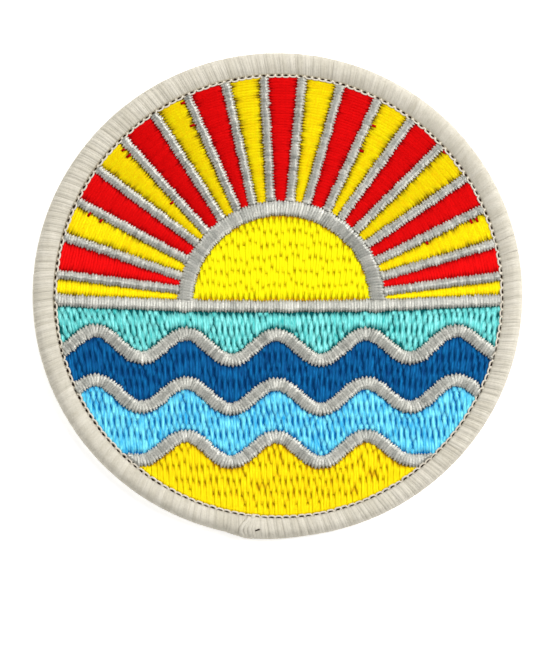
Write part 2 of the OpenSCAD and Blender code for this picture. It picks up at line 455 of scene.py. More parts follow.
def strands(name, centre, across, half_w, half_h, tone, sink, material, sides=6):
    """One mesh of many strands.

    centre holds the points along each strand, (strands, points, 3), and across the direction of its
    width. half_w, half_h and the painted shade have a value for each point, and tone one for each strand or
    point.
    """
    count, points, _ = centre.shape
    ahead = unit(np.gradient(centre, axis=1))
    across = unit(across - ahead * (across * ahead).sum(-1, keepdims=True))
    up = np.cross(ahead, across)
    turn = 2 * np.pi * np.arange(sides) / sides
    ring = (centre[:, :, None]
            + across[:, :, None] * (half_w[..., None] * np.cos(turn))[..., None]
            + up[:, :, None] * (half_h[..., None] * np.sin(turn))[..., None])
    index = np.arange(count * points * sides).reshape(count, points, sides)
    after = np.roll(index, -1, axis=2)
    walls = np.stack([index[:, :-1], after[:, :-1], after[:, 1:], index[:, 1:]], axis=-1).reshape(-1, 4)
    caps = np.stack([index[:, 0, ::-1], index[:, -1]], axis=1).reshape(-1, sides)
    run = np.zeros((count, points))
    run[:, 1:] = np.cumsum(np.linalg.norm(np.diff(centre, axis=1), axis=-1), axis=1)
    fraction = np.arange(sides + 1) / sides
    wall_u = np.stack([run[:, :-1], run[:, :-1], run[:, 1:], run[:, 1:]], -1)[:, :, None]
    wall_v = np.stack([fraction[:-1], fraction[1:], fraction[1:], fraction[:-1]], -1)
    corners = (count, points - 1, sides, 4)
    walls_uv = np.stack([np.broadcast_to(uv, corners) for uv in (wall_u, wall_v)], -1).reshape(-1, 2)
    caps_uv = np.zeros((caps.size, 2))

    mesh = bpy.data.meshes.new(name)
    mesh.vertices.add(count * points * sides)
    mesh.vertices.foreach_set("co", ring.ravel())
    mesh.loops.add(walls.size + caps.size)
    mesh.loops.foreach_set("vertex_index", np.concatenate([walls.ravel(), caps.ravel()]).astype(np.int32))
    starts = np.concatenate([np.arange(len(walls)) * 4, walls.size + np.arange(len(caps)) * sides])
    mesh.polygons.add(len(starts))
    mesh.polygons.foreach_set("loop_start", starts.astype(np.int32))
    mesh.update(calc_edges=True)
    mesh.validate()
    mesh.polygons.foreach_set("use_smooth", np.ones(len(starts), bool))
    layer = mesh.uv_layers.new(name="thread")
    layer.data.foreach_set("uv", np.concatenate([walls_uv, caps_uv]).ravel())
    per_point = {"tone": np.broadcast_to(tone.reshape(count, -1), (count, points)), "sink": sink}
    for key, values in per_point.items():
        spread = np.repeat(values.astype(np.float32).reshape(-1), sides)
        mesh.attributes.new(key, "FLOAT", "POINT").data.foreach_set("value", spread)
    mesh.materials.append(material)
    body = bpy.data.objects.new(name, mesh)
    bpy.context.collection.objects.link(body)
    return body


def stitched(starts, ends, along, height):
    """Centre lines and widths' directions of stitches from starts to ends in plan.

    along says how far from its start each point of a stitch lies, and height how high.
    """
    way = unit(ends - starts)
    plan = starts[:, None] + way[:, None] * along[..., None]
    centre = np.concatenate([plan, height[..., None]], axis=-1)
    across = np.stack([-way[:, 1], way[:, 0], np.zeros(len(way))], axis=-1)
    return centre, np.broadcast_to(across[:, None], centre.shape)


# How a flat stitch rises from its hole: share of its dip, share of its rise
RISE_RUN = np.array([0, 0.2, 0.45, 0.72, 1])
RISE = RISE_RUN ** 2 * (3 - 2 * RISE_RUN)
# The longest that its dip may be, as a share of the stitch, and how much thinner it is in its hole
LONGEST_DIP = 0.42
THINNER = 0.35
# How much flat stitches differ in lift, width and tone
FLAT_LIFT, FLAT_WIDTH, FLAT_TONE = 0.1, 0.05, 0.25
# How far a flat stitch goes down at each end, over what length, how narrow it gets, and how much painted
# shade it takes there
Ends = namedtuple("Ends", "depth dip narrow shade")


def flat_stitches(name, starts, ends, sinks, half_width, half_height, waist, material, random):
    """Stitches that lie flat on their field, go down at both ends and take painted shade there.

    waist is how wide their middles are, as a share of their width.
    """
    span = np.linalg.norm(ends - starts, axis=1)
    dip = np.minimum(sinks.dip, span[:, None] * LONGEST_DIP)
    along = np.concatenate([
        dip[:, :1] * RISE_RUN,
        (span / 2)[:, None],
        span[:, None] - dip[:, 1:] * RISE_RUN[::-1],
    ], axis=1)
    fall = np.concatenate([1 - RISE, [0], 1 - RISE[::-1]])
    first = np.arange(len(fall)) < len(fall) / 2
    depth = np.where(first, sinks.depth[:, :1], sinks.depth[:, 1:])
    shade = np.where(first, sinks.shade[:, :1], sinks.shade[:, 1:])
    lift = random.normal(0, FLAT_LIFT * half_height, (len(starts), 1))
    height = FIELD_TOP - half_height - depth * fall + lift * (1 - fall)
    narrow = np.where(first, sinks.narrow[:, :1], sinks.narrow[:, 1:])
    half_w = half_width * (1 - narrow * fall) * random.normal(1, FLAT_WIDTH, (len(starts), 1))
    half_w[:, len(RISE)] *= waist
    half_h = half_height * (1 - THINNER * fall)
    centre, across = stitched(starts, ends, along, height)
    tone = np.clip(random.normal(0.5, FLAT_TONE, len(starts)), 0, 1)
    # Where a stitch goes down, it takes painted shade.
    return strands(name, centre, across, half_w, half_h, tone, fall * shade, material)


# How a satin stitch ends in a tooth: distance from its tip, shares of its width and of its height, and
# how much painted highlight makes it lighter there than in its middle
TIP_RUN = np.array([0, 0.12, 0.3, 0.55]) * MM
TIP_WIDTH = np.array([0.12, 0.33, 0.56, 1])
TIP_RISE = np.array([0, 0.27, 0.6, 0.9])
TIP_HIGHLIGHT = np.array([0.8, 0.65, 0.4, 0.05])
# The most of half a stitch that its tooth may take, and where its other points lie from there to its middle
TIP_SHARE = 0.75
CROWN_RUN = np.array([0.35, 0.8])
# How far its tip lies over the field and its crown below the solid's, and how much such stitches differ
# in lift and tone
CROWN_GAP = 0.04 * MM
CROWN_LIFT, CROWN_TONE = 0.018 * MM, 0.12
# How light it may get with the painted highlight, where 1 is its light colour in even light
HIGHLIGHT_TOP = 1.4


def crown_stitches(name, starts, ends, half_width, light, material, random):
    """Satin stitches that run over the crown of a padded column and end as teeth on the fields beside it.

    light is how light their middles are, from 0 to 1, set low as painted shade for their darker crowns.
    """
    size = stitches()
    half = np.linalg.norm(ends - starts, axis=1)[:, None] / 2
    tip = TIP_RUN * np.minimum(1, half * TIP_SHARE / TIP_RUN[-1])
    run = np.concatenate([tip, tip[:, -1:] + (half - tip[:, -1:]) * CROWN_RUN], axis=1)
    along = np.concatenate([run, 2 * half - run[:, ::-1]], axis=1)
    width, rise, highlight = (
        np.concatenate([at_tip, np.full(2 * len(CROWN_RUN), at_crown), at_tip[::-1]])
        for at_tip, at_crown in ((TIP_WIDTH, 1), (TIP_RISE, 1), (TIP_HIGHLIGHT, 0)))
    foot = FIELD_TOP + CROWN_GAP
    lift = random.normal(0, CROWN_LIFT, (len(starts), 1))
    half_w = half_width * np.broadcast_to(width, along.shape)
    half_h = size.thread_h * np.broadcast_to(width, along.shape)
    level = foot + (COLUMN_TOP - CROWN_GAP - foot + lift) * rise - half_h
    centre, across = stitched(starts, ends, along, level)
    # Painted highlight: the teeth are made lighter towards their tips.
    tone = np.clip(random.normal(light, CROWN_TONE, (len(starts), 1)) + highlight, 0, HIGHLIGHT_TOP)
    return strands(name, centre, across, half_w, half_h, tone, 0 * level, material)


# How high the padding is below the stitches, as a share of the solid's height, and how far a column's
# padding stays inside its outline
FIELD_PRESS, COLUMN_PRESS, SPOKE_PRESS, RAY_PRESS = 0.7, 0.62, 0.6, 0.72
COLUMN_SHRINK = 0.2 * MM


def padding(node, press, material, shrink=0.0):
    """The padding below a node's stitches: the solid's own form, shrunk and pressed down."""
    body = bpy.data.objects.new(node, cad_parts[node].data.copy())
    bpy.context.collection.objects.link(body)
    only(body)
    bpy.ops.mesh.customdata_custom_splitnormals_clear()
    bpy.ops.object.mode_set(mode="EDIT")
    bpy.ops.mesh.select_all(action="SELECT")
    bpy.ops.mesh.remove_doubles(threshold=MERGE)
    if shrink:
        bpy.ops.transform.shrink_fatten(value=-shrink)
    bpy.ops.transform.resize(value=(1, 1, press), center_override=(0, 0, THREAD_Z))
    bpy.ops.object.mode_set(mode="OBJECT")
    give(body, material)
    return body


def outline(node):
    """The outline of a solid's flat underside in plan, as loose edges: (edges, 2 ends, x and y)."""
    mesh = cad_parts[node].data
    mesh.calc_loop_triangles()
    corners = np.empty(3 * len(mesh.loop_triangles), np.int32)
    mesh.loop_triangles.foreach_get("vertices", corners)
    faces = points_of(node)[corners].reshape(-1, 3, 3)
    under = faces[(faces[:, :, 2] < THREAD_Z + 10 * TOUCH).all(axis=1)][:, :, :2]
    edges = np.concatenate([under[:, [0, 1]], under[:, [1, 2]], under[:, [2, 0]]])
    # Each point gets one whole number, and each edge the numbers of its two ends
    keys = np.round(edges / TOUCH).astype(np.int64)
    codes = np.sort(keys[..., 0] * 10 ** 8 + keys[..., 1], axis=1)
    _, first, uses = np.unique(codes, axis=0, return_index=True, return_counts=True)
    return edges[first[uses == 1]]


def crossings(edges, origin, way):
    """Where a line crosses the edges, as sorted distances from its origin."""
    offset = edges - origin
    side = offset @ np.array([-way[1], way[0]])
    hit = (side[:, 0] > 0) != (side[:, 1] > 0)
    a, b = offset[hit, 0], offset[hit, 1]
    share_of_edge = side[hit, 0] / (side[hit, 0] - side[hit, 1])
    return np.sort((a + (b - a) * share_of_edge[:, None]) @ way)


def rim_crossings(origin, way, radius):
    """Where a line crosses a circle round the picture's centre, as distances from its origin."""
    offset = origin - PICTURE_CENTRE
    middle = -(offset @ way)
    half = radius * radius - (offset @ offset - middle * middle)
    if half <= 0:
        return 0.0, 0.0
    return middle - math.sqrt(half), middle + math.sqrt(half)


def rim():
    """Radius at which the picture's stitches end, below the border's chain."""
    return PICTURE_R - bpy.context.scene.patch_border.seam_w


# Where a stitch of a field ends
INSIDE, COLUMN, RIM = range(3)
Field = namedtuple("Field", "node tints left right drift dip depth narrow shade edge jitter body")
# tints: its colours and, with _thread, its slot.
# left and right: lean of the thread lines at the field's sides, down to the right, in degrees.
# drift: how far a stitch runs out of its line, in shares of the pitch.
# dip, depth: over how long and how far a stitch sinks to its hole, in millimetres.
# narrow, shade: how narrow it gets there, and how much painted shade it takes. edge: how much painted shade
# it takes beside a column.
# jitter: how unevenly the holes lie, in millimetres. body: how thick a thread lies, as a share of its height
FIELDS = [
    Field("sun_fill", "sun", 3, -9, 0.12, 0.75, 0.03, 0.4, 0.42, 0.85, 0.3, 0.4),
    Field("sea_turquoise", "turquoise", 9, -12, 0.3, 1.4, 0.15, 0.88, 1.0, 1.3, 0.22, 1),
    Field("sea_dark_blue", "dark_blue", 4, -12, 0.3, 1.3, 0.1, 0.8, 1.0, 0.5, 0.25, 1),
    Field("sea_light_blue", "light_blue", 2, -1, 0.3, 1.4, 0.13, 0.85, 1.0, 0.8, 0.14, 1),
    Field("sand", "sand", 1, -3, 0.25, 1.2, 0.055, 0.5, 0.62, 1.0, 0.32, 0.5),
]


# Thread lines of a field: how far they wander sideways, how far beyond its outline the first and the
# last start, so that leaning ones reach its corners, how short they may be, and how close to their
# ends a hole may lie
WANDER = 0.012 * MM
BEYOND = 1.5 * MM
SHORTEST_LINE = 0.5 * MM
HOLE_CLEARANCE = 1.3 * MM


def fill_lines(field, edges, random):
    """Ends of all the stitches of a filled field, and where each end lies: INSIDE, at a COLUMN or at the RIM.

    The thread lines run from top to bottom, with staggered holes. The last value is 1 for every other line.
    """
    size = stitches()
    low, high = edges.reshape(-1, 2).min(axis=0), edges.reshape(-1, 2).max(axis=0)
    level = (low[1] + high[1]) / 2
    starts, ends, places_of_ends, odd = [], [], [], []
    for number, x in enumerate(np.arange(low[0] - BEYOND, high[0] + BEYOND, size.fill_pitch)):
        share_of_way = (x - low[0]) / (high[0] - low[0])
        lean = math.radians(field.left + (field.right - field.left) * share_of_way)
        way = np.array([math.sin(lean), -math.cos(lean)])
        side = np.array([-way[1], way[0]])
        origin = np.array([x + random.normal(0, WANDER), level])
        cuts = crossings(edges, origin, way)
        rim_from, rim_to = rim_crossings(origin, way, rim())
        stagger = (number % 2) / 2 * size.fill_length + random.normal(0, field.jitter / 2 * MM)
        for a, b in zip(cuts[::2], cuts[1::2]):
            a, b = max(a - size.tuck, rim_from), min(b + size.tuck, rim_to)
            if b - a < SHORTEST_LINE:
                continue
            borders = {a: RIM if a == rim_from else COLUMN, b: RIM if b == rim_to else COLUMN}
            first = math.ceil((a - stagger) / size.fill_length)
            last = math.floor((b - stagger) / size.fill_length)
            holes = [
                stagger + turn * size.fill_length + random.normal(0, field.jitter * MM)
                for turn in range(first, last + 1)]
            places = [a, *(h for h in holes if a + HOLE_CLEARANCE < h < b - HOLE_CLEARANCE), b]
            for p, q in zip(places, places[1:]):
                turn = math.floor(((p + q) / 2 - stagger) / size.fill_length)
                phases = [min(max((place - stagger) / size.fill_length - turn, 0), 1) for place in (p, q)]
                drift = [field.drift * size.fill_pitch * (2 * phase - 1) for phase in phases]
                starts.append(origin + way * p + side * drift[0])
                ends.append(origin + way * q + side * drift[1])
                places_of_ends.append((borders.get(p, INSIDE), borders.get(q, INSIDE)))
                odd.append(number % 2)
    return np.array(starts), np.array(ends), np.array(places_of_ends), np.array(odd)


# How unevenly a field's stitches sink: the shape of the draw, whose mean is 1, and its least and most
SINK_SHAPE, SINK_LEAST, SINK_MOST = 8, 0.4, 1.5
# How much painted shade the stitches of the even lines take at a column, and how much more those of the odd
# ones, as shares of the field's edge
EVEN_LINE, ODD_MORE = 0.6, 0.8
# How a field's stitch ends at the rim, below the chain, and the most of its width that any end loses
AT_RIM = Ends(depth=0.06 * MM, dip=0.4 * MM, narrow=0.3, shade=0.2)
NARROWEST = 0.92


def filled_field(field):
    """A field's stitches over its padding."""
    size = stitches()
    slot = field.tints + "_thread"
    random = random_for(field.node)
    light, dark, shade_tint = tints_of(field.tints)
    material = thread(slot, light, dark, shade_tint, grained=1.8, streaks=7, streak=1.2 * MM)
    under = painted_shade_material(slot + "_padding", shade_tint)
    starts, ends, lie, odd = fill_lines(field, outline(field.node), random)
    uneven = np.clip(random.gamma(SINK_SHAPE, 1 / SINK_SHAPE, lie.shape), SINK_LEAST, SINK_MOST)
    inside = Ends(
        field.depth * MM * uneven, field.dip * MM * (0.5 + 0.5 * uneven), field.narrow * uneven,
        field.shade * uneven)
    # The more painted shade a stitch takes at a column, the further it sinks there and the narrower it gets
    edge = field.edge * (EVEN_LINE + ODD_MORE * odd[:, None]) * uneven
    at_column = Ends(
        size.edge_depth * (1 + 3 * edge), size.edge_dip * (0.6 + 0.7 * edge), 0.5 + 0.35 * edge, edge)
    sinks = Ends(*(np.choose(lie, parts) for parts in zip(inside, at_column, AT_RIM)))
    sinks = sinks._replace(narrow=np.minimum(sinks.narrow, NARROWEST), shade=np.minimum(sinks.shade, 1))
    threads = flat_stitches(
        field.node, starts, ends, sinks, size.spread * size.fill_pitch, size.thread_h * field.body,
        size.waist, material, random)
    bed = padding(field.node, FIELD_PRESS, under)
    return seated([threads, bed], field.node + "_stitches", slot, [field.node])


def rows_along(first, last, pitch):
    """Evenly spaced places from first to last, half a pitch inside both."""
    count = max(1, round((last - first) / pitch))
    return first + (np.arange(count) + 0.5) * (last - first) / count


def on_path(path, run, places):
    """Points at these lengths along a path."""
    return np.column_stack([np.interp(places, run, path[:, 0]), np.interp(places, run, path[:, 1])])


# The shortest stitch across a column or a ray
SHORTEST_ACROSS, SHORTEST_IN_RAY = 0.35 * MM, 0.4 * MM


def across_column(edges, places, ways, reach, random):
    """Ends of stitches that cross a column at each place, out to its outline and a tooth beyond."""
    size = stitches()
    starts, ends = [], []
    for place, way in zip(places, ways):
        cuts = crossings(edges, place, way)
        before, after = cuts[cuts <= 0], cuts[cuts > 0]
        if not len(before) or not len(after):
            continue
        a, b = before[-1], after[0]
        rim_from, rim_to = rim_crossings(place, way, rim())
        tooth_a, tooth_b = size.tooth + random.normal(0, size.tooth_spread, 2)
        a, b = max(a - tooth_a, rim_from, -reach), min(b + tooth_b, rim_to, reach)
        if b - a < SHORTEST_ACROSS:
            continue
        starts.append(place + way * a)
        ends.append(place + way * b)
    return np.array(starts), np.array(ends)


Column = namedtuple("Column", "reach lean slew light press")
# reach: how far from its middle line a column's stitches may go. lean, slew: how far out of square they
# run and how much that differs, as run over rise. light: how light their middles are, from 0 to 1, low as
# painted shade for their darker crowns, lowest on the spokes. press: how high its padding is
LEVEL = Column(1.6 * MM, 0, 0.035, 0.45, COLUMN_PRESS)
ARCH = Column(1.9 * MM, -0.08, 0.03, 0.42, COLUMN_PRESS)
SPOKE = Column(0.9 * MM, 0, 0.04, 0.38, SPOKE_PRESS)


def grey_thread(name):
    return thread(name, *tints_of("grey"), shine=0.78, mottle=0.9 * MM, grained=0.8, mottled=0.25, toned=0.8)


# The columns' padding, in painted shade.
def grey_padding(name):
    return painted_shade_material(name, colours().grey_deep)


def out_of_square(column, ways, ahead, random):
    """The directions of a column's stitches, each turned a little."""
    return unit(ways + ahead * random.normal(column.lean, column.slew, (len(ways), 1)))


def satin(node, column, starts, ends, half_width, material, under, random):
    """A column's stitches over its padding."""
    threads = crown_stitches(node, starts, ends, half_width, column.light, material, random)
    bed = padding(node, column.press, under, COLUMN_SHRINK)
    return seated([threads, bed], node + "_satin", "grey_thread", [node])


# Middle lines of the level columns: how far inside the rim they are read and at what steps, how far
# they run on beyond that, and over what length their direction is taken
READ_INSIDE, READ_STEP = 0.3 * MM, 0.15 * MM
RUN_ON = 4 * MM
SMOOTH = 0.4 * MM
# How much the first stitch's place differs, and how much longer the stitches on a lump are, and how
# wide the lump is
FIRST_SPREAD = 0.02 * MM
LUMP, LUMP_W = 0.22 * MM, 1.2 * MM


def middle_line(edges):
    """A level column's middle line, run on at both ends, and the length along it at each point."""
    inside = rim() - READ_INSIDE
    line = []
    for x in np.arange(-inside, inside, READ_STEP):
        cuts = crossings(edges, np.array([x, 0.0]), np.array([0.0, 1.0]))
        if len(cuts) == 2 and all(math.hypot(x, y - PICTURE_CENTRE[1]) < inside for y in cuts):
            line.append((x, cuts.mean()))
    line = np.array(line)
    before = line[0] - unit(line[4] - line[0]) * RUN_ON
    after = line[-1] + unit(line[-1] - line[-5]) * RUN_ON
    line = np.vstack([before, line, after])
    return line, np.concatenate([[0], np.cumsum(np.linalg.norm(np.diff(line, axis=0), axis=1))])


def level_column(node, lumps=()):
    """A wavy or level satin column, with its stitches square to its middle line.

    lumps are the places along x where its stitches are longer.
    """
    size = stitches()
    edges = outline(node)
    random = random_for(node)
    line, run = middle_line(edges)
    spots = rows_along(0, run[-1], size.satin_pitch) + random.normal(0, FIRST_SPREAD)
    ahead = unit(on_path(line, run, spots + SMOOTH) - on_path(line, run, spots - SMOOTH))
    ways = out_of_square(LEVEL, np.column_stack([-ahead[:, 1], ahead[:, 0]]), ahead, random)
    starts, ends = across_column(edges, on_path(line, run, spots), ways, LEVEL.reach, random)
    for x in lumps:
        longer = LUMP * np.exp(-((starts[:, :1] - x) / LUMP_W) ** 2) * unit(ends - starts)
        starts, ends = starts - longer, ends + longer
    return satin(
        node, LEVEL, starts, ends, size.satin_spread * size.satin_pitch, grey_thread(node + "_thread"),
        grey_padding(node + "_padding"), random)


def long_sides(edges):
    """The two longest edges of an outline."""
    return edges[np.argsort(np.linalg.norm(edges[:, 1] - edges[:, 0], axis=1))[-2:]]


# The cloth's rings of faces, from its rim inwards, and its rounded rim
CLOTH_RINGS = (0.5 * MM, 6 * MM, 8 * MM, 9 * MM)
CLOTH_BEVEL = 0.12 * MM


class PATCH_OT_base_cloth(bpy.types.Operator):
    """Lay the round twill cloth that carries the stitching"""
    bl_idname = "patch.base_cloth"
    bl_label = "Base cloth"

    def execute(self, context):
        bpy.ops.object.select_all(action="DESELECT")
        low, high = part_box("base_cloth")
        bpy.ops.mesh.primitive_circle_add(
            vertices=128, radius=CLOTH_R, fill_type="NGON", location=(0, 0, high.z))
        cloth = context.object
        bpy.ops.object.transform_apply(location=True)
        bpy.ops.object.mode_set(mode="EDIT")
        for width in CLOTH_RINGS:
            bpy.ops.mesh.inset(thickness=width)
        bpy.ops.object.mode_set(mode="OBJECT")
        wall = cloth.modifiers.new("Thickness", "SOLIDIFY")
        wall.thickness = high.z - low.z
        wall.offset = -1
        bpy.ops.object.modifier_apply(modifier=wall.name)
        bevel = cloth.modifiers.new("Soft rim", "BEVEL")
        bevel.width = CLOTH_BEVEL
        bevel.segments = 2
        bpy.ops.object.modifier_apply(modifier=bevel.name)
        give(cloth, twill_material("twill", colours().twill))
        seated([cloth], "twill_cloth", "twill", ["base_cloth"])
        return {"FINISHED"}


def border_thread():
    return thread(
        "border_thread", *tints_of("border"), shine=0.1, mottle=1.1 * MM, roughness=0.6, grained=0.5,
        mottled=0.55, toned=0.25)


def inner_radius(angles):
    """Distance from the patch's middle to the border's inner wall at each angle."""
    way = np.stack([np.cos(angles), np.sin(angles)], axis=-1)
    along = way @ PICTURE_CENTRE
    return along + np.sqrt(PICTURE_R ** 2 - PICTURE_CENTRE @ PICTURE_CENTRE + along ** 2)


# Where a wrap's points lie: shares of the way over the face, angles round the outer edge in
# degrees and shares of the way back underneath
FACE_RUN = np.array([0, 0.14, 0.34, 0.58, 0.8, 1])
ROLL_TURN = np.radians([62, 32, 4, -26, -58, -90])
BACK_RUN = np.array([0.3, 0.65, 1])
# How far in from the border's wall and how far down a wrap starts, in its needle hole
PIT_IN, PIT_DOWN = 0.04 * MM, 0.25 * MM
# How narrow it is there, and how much painted shade it takes there and at the wall
PIT_WIDTH = 0.6
PIT_SHADE, WALL_SHADE = 0.9, 0.15
# The share of its width at the patch's edge that it would lose on the way to the patch's middle
FANNING = 0.2
# How far a loop's inner end bows out, and how far its middle stands over its sides
LOOP_BOW = 0.04 * MM
LOOP_CROWN, CROWN_LEVEL = 0.095 * MM, 0.75
# How much the loops and the single threads differ in height, in place and in tone
LOOP_LIFT, THREAD_LIFT = 0.03 * MM, 0.012 * MM
THREAD_START = 0.03 * MM
LOOP_FAN, THREAD_FAN = 0.07 * MM, 0.02 * MM
LOOP_TONE, THREAD_TONE = 0.35, 0.2
# The most that a loop may differ, in spreads
MOST_UNEVEN = 1.6


def wraps(name, angles, tilt, rise, random, material, lift=0.0, bow=0.0):
    """The wound threads at these angles: over the face, round the edge and back underneath.

    rise is how far each one stands out of the round, lift how far it lies over the face, and bow the
    angle by which its middle lies back.
    """
    size = bpy.context.scene.patch_border
    count = len(angles)
    inner = inner_radius(angles)[:, None]
    run = ROLL_X - inner
    face_r = inner + run * FACE_RUN
    in_loop = (angles / (2 * np.pi) * size.loops) % 1
    face_r[:, 0] -= LOOP_BOW * np.sin(np.pi * in_loop)
    face_z = FACE_MIDDLE[1] + np.sqrt(FACE_ARCH ** 2 - (face_r - FACE_MIDDLE[0]) ** 2) - size.thread_h
    skin = ROLL_R - size.thread_h
    roll_out = np.broadcast_to(ROLL_X + skin * np.cos(ROLL_TURN), (count, len(ROLL_TURN)))
    roll_z = np.broadcast_to(ROLL_R + skin * np.sin(ROLL_TURN), roll_out.shape)
    back_r = ROLL_X - run * BACK_RUN
    back_z = np.full(back_r.shape, size.thread_h)
    pit_r = inner - PIT_IN
    pit_z = face_z[:, :1] - PIT_DOWN
    radius = np.concatenate([pit_r, face_r, roll_out, back_r], axis=1)
    level = np.concatenate([pit_z, face_z, roll_z, back_z], axis=1)
    over = np.clip((radius - inner) / (PATCH_R - inner), 0, 1)
    over[:, -len(BACK_RUN):] = 1
    # The threads of a loop lie together, and the loops a little unevenly
    loop = np.floor(angles / (2 * np.pi) * size.loops).astype(int)
    uneven = np.clip(random.normal(0, 1, (3, size.loops)), -MOST_UNEVEN, MOST_UNEVEN)
    loop_lift, loop_fan, loop_tone = uneven[:, loop]
    bundle = LOOP_CROWN * (np.sin(np.pi * in_loop) - CROWN_LEVEL)
    lift = (lift + loop_lift * LOOP_LIFT + bundle + random.normal(0, THREAD_LIFT, count))[:, None]
    level += lift * (level > ROLL_R)
    radius += rise[:, None] * over
    start = random.normal(0, THREAD_START, (count, 1)) / PATCH_R
    fan = (loop_fan[:, None] * LOOP_FAN + random.normal(0, THREAD_FAN, (count, 1))) / PATCH_R
    bowed = np.outer(bow, [1]) * np.sin(np.pi * over ** 1.5)
    azimuth = angles[:, None] + start + (tilt[:, None] + fan) * over - bowed
    centre = np.stack([radius * np.cos(azimuth), radius * np.sin(azimuth), level], axis=-1)
    across = np.stack([-np.sin(azimuth), np.cos(azimuth), np.zeros_like(azimuth)], axis=-1)
    half_w = np.full(level.shape, size.thread_w) * (1 - FANNING + FANNING * radius / PATCH_R)
    half_w[:, 0] *= PIT_WIDTH
    half_h = np.full(level.shape, size.thread_h)
    tone = np.clip(0.5 + loop_tone * LOOP_TONE + random.normal(0, THREAD_TONE, count), 0, 1)
    # Painted shade in the needle pit and at the foot of the wall.
    sink = np.zeros(level.shape)
    sink[:, 0] = PIT_SHADE
    sink[:, 1] = WALL_SHADE
    return strands(name, centre, across, half_w, half_h, tone, sink, material, sides=8)


def joint_span():
    """Angles between which the lapped end lies, and how far it stands out."""
    points = points_of("border_joint")
    angles = np.unwrap(np.arctan2(points[:, 1], points[:, 0])) % (2 * np.pi)
    reach = np.hypot(points[:, 0], points[:, 1]).max()
    return angles.min(), angles.max(), reach - PATCH_R


# How far round the first wraps run on under the lap, where before it they begin to rise, over what way,
# and up to what share of the lap's own height
RUN_UNDER = 2 * DEGREE
RISE_BEFORE, RISE_OVER = 0.5 * DEGREE, 4.5 * DEGREE
RISE_SHARE = 0.95


class PATCH_OT_border(bpy.types.Operator):
    """Wind the border with its threads, except for its lapped end"""
    bl_idname = "patch.border"
    bl_label = "Wound border"

    def execute(self, context):
        size = context.scene.patch_border
        count = size.loops * size.threads
        angles = 2 * np.pi * (np.arange(count) + 0.5) / count
        lap_from, lap_to, out = joint_span()
        outer = angles + size.tilt
        angles = angles[(outer < lap_from + RUN_UNDER) | (outer > lap_to)]
        near = np.clip(1 - (lap_from + RISE_BEFORE - angles - size.tilt) / RISE_OVER, 0, 1)
        rise = RISE_SHARE * out * near * (angles + size.tilt < lap_to)
        tilt = np.full(len(angles), size.tilt)
        threads = wraps("merrow_border", angles, tilt, rise, random_for("merrow_border"), border_thread())
        seated([threads], "border_wraps", "border_thread", ["merrow_border"])
        return {"FINISHED"}


# The lap: how far from its start its last wrap lies, its pitch as a share of the border's, over what way
# its wraps turn into the slant, and how far the last one lies over the others
LAP_START = 0.4 * DEGREE
LAP_PITCH = 0.85
LAP_TURN = 4 * DEGREE
LAP_LIFT = 0.2 * MM
# The thread's end beside the lap: how far its points lie in from the patch's edge, past the lap's start
# and over the fields, half its width and height, and how light it is from 0 to 1
TAIL_IN = np.array([2.3, 2.5, 2.8, 3.1, 3.3]) * MM
TAIL_PAST = np.array([1.6, 1.65, 1.8, 1.95, 2.0]) * DEGREE
TAIL_OVER = np.array([-0.05, 0.22, 0.3, 0.2, -0.1]) * MM
TAIL_W, TAIL_H = 0.3 * MM, 0.14 * MM
TAIL_LIGHT = 0.9
# The small hole in the lap, a dark strand of painted shade, in the same way
PIN_IN = np.array([0.75, 0.8, 0.98, 1.04]) * MM
PIN_PAST = np.array([2.75, 2.9, 3.6, 3.75]) * DEGREE
PIN_W, PIN_H = 0.12 * MM, 0.1 * MM


class PATCH_OT_border_joint(bpy.types.Operator):
    """Wind the lapped end of the border, which stands out of the round, with its thread's end"""
    bl_idname = "patch.border_joint"
    bl_label = "Border joint"

    def execute(self, context):
        size = context.scene.patch_border
        lap_from, lap_to, out = joint_span()
        # The last wraps slant outwards, and lie closer together at their inner ends
        step = LAP_PITCH * 2 * np.pi / (size.loops * size.threads)
        angles = np.arange(lap_from + LAP_START + size.lap_slant, lap_to - size.tilt, step)
        lap = (lap_to - size.tilt - angles) / (lap_to - lap_from)
        last = np.clip(1 - (angles - angles[0]) / LAP_TURN, 0, 1) ** 1.5
        tilt = size.tilt - (size.tilt + size.lap_slant) * last
        rise = out * (lap + size.lap_slant / (lap_to - lap_from) * last)
        threads = wraps(
            "border_joint", angles, tilt, rise, random_for("border_joint"), border_thread(),
            lift=LAP_LIFT * last, bow=size.lap_bow * last)
        tail = self.short(
            "tail", TAIL_IN, lap_from + TAIL_PAST, FIELD_TOP + TAIL_OVER, TAIL_W, TAIL_H, TAIL_LIGHT,
            border_thread())
        # The pin hole is a dark strand of painted shade.
        hole = self.short(
            "pin_hole", PIN_IN, lap_from + PIN_PAST, np.full(len(PIN_IN), BORDER_TOP), PIN_W, PIN_H, 0,
            painted_shade_material("pin_hole", colours().hole))
        seated([threads, tail, hole], "border_joint_wraps", "border_thread", ["border_joint"])
        return {"FINISHED"}

    def short(self, name, inwards, azimuth, level, half_w, half_h, tone, material):
        """One short strand on the border, its points at these distances from the patch's edge."""
        reach = PATCH_R - inwards
        centre = np.stack([reach * np.cos(azimuth), reach * np.sin(azimuth), level], axis=-1)[None]
        ahead = np.gradient(centre, axis=1)
        across = unit(np.stack([-ahead[..., 1], ahead[..., 0], 0 * ahead[..., 0]], axis=-1))
        even = np.ones(centre.shape[:2])
        return strands(
            name, centre, across, half_w * even, half_h * even, np.array([tone]), 0 * even, material, sides=8)


# The chain's loop round a needle hole: share of the loop, reach into the picture, rise
LOOP_RUN = np.array([-0.03, 0.04, 0.18, 0.38, 0.66, 0.86, 1.0, 1.06])
LOOP_REACH = np.array([0, 0.5, 0.9, 1, 1, 0.9, 0.5, 0])
LOOP_RISE = np.array([0, 0.6, 0.9, 1, 1, 0.9, 0.6, 0])
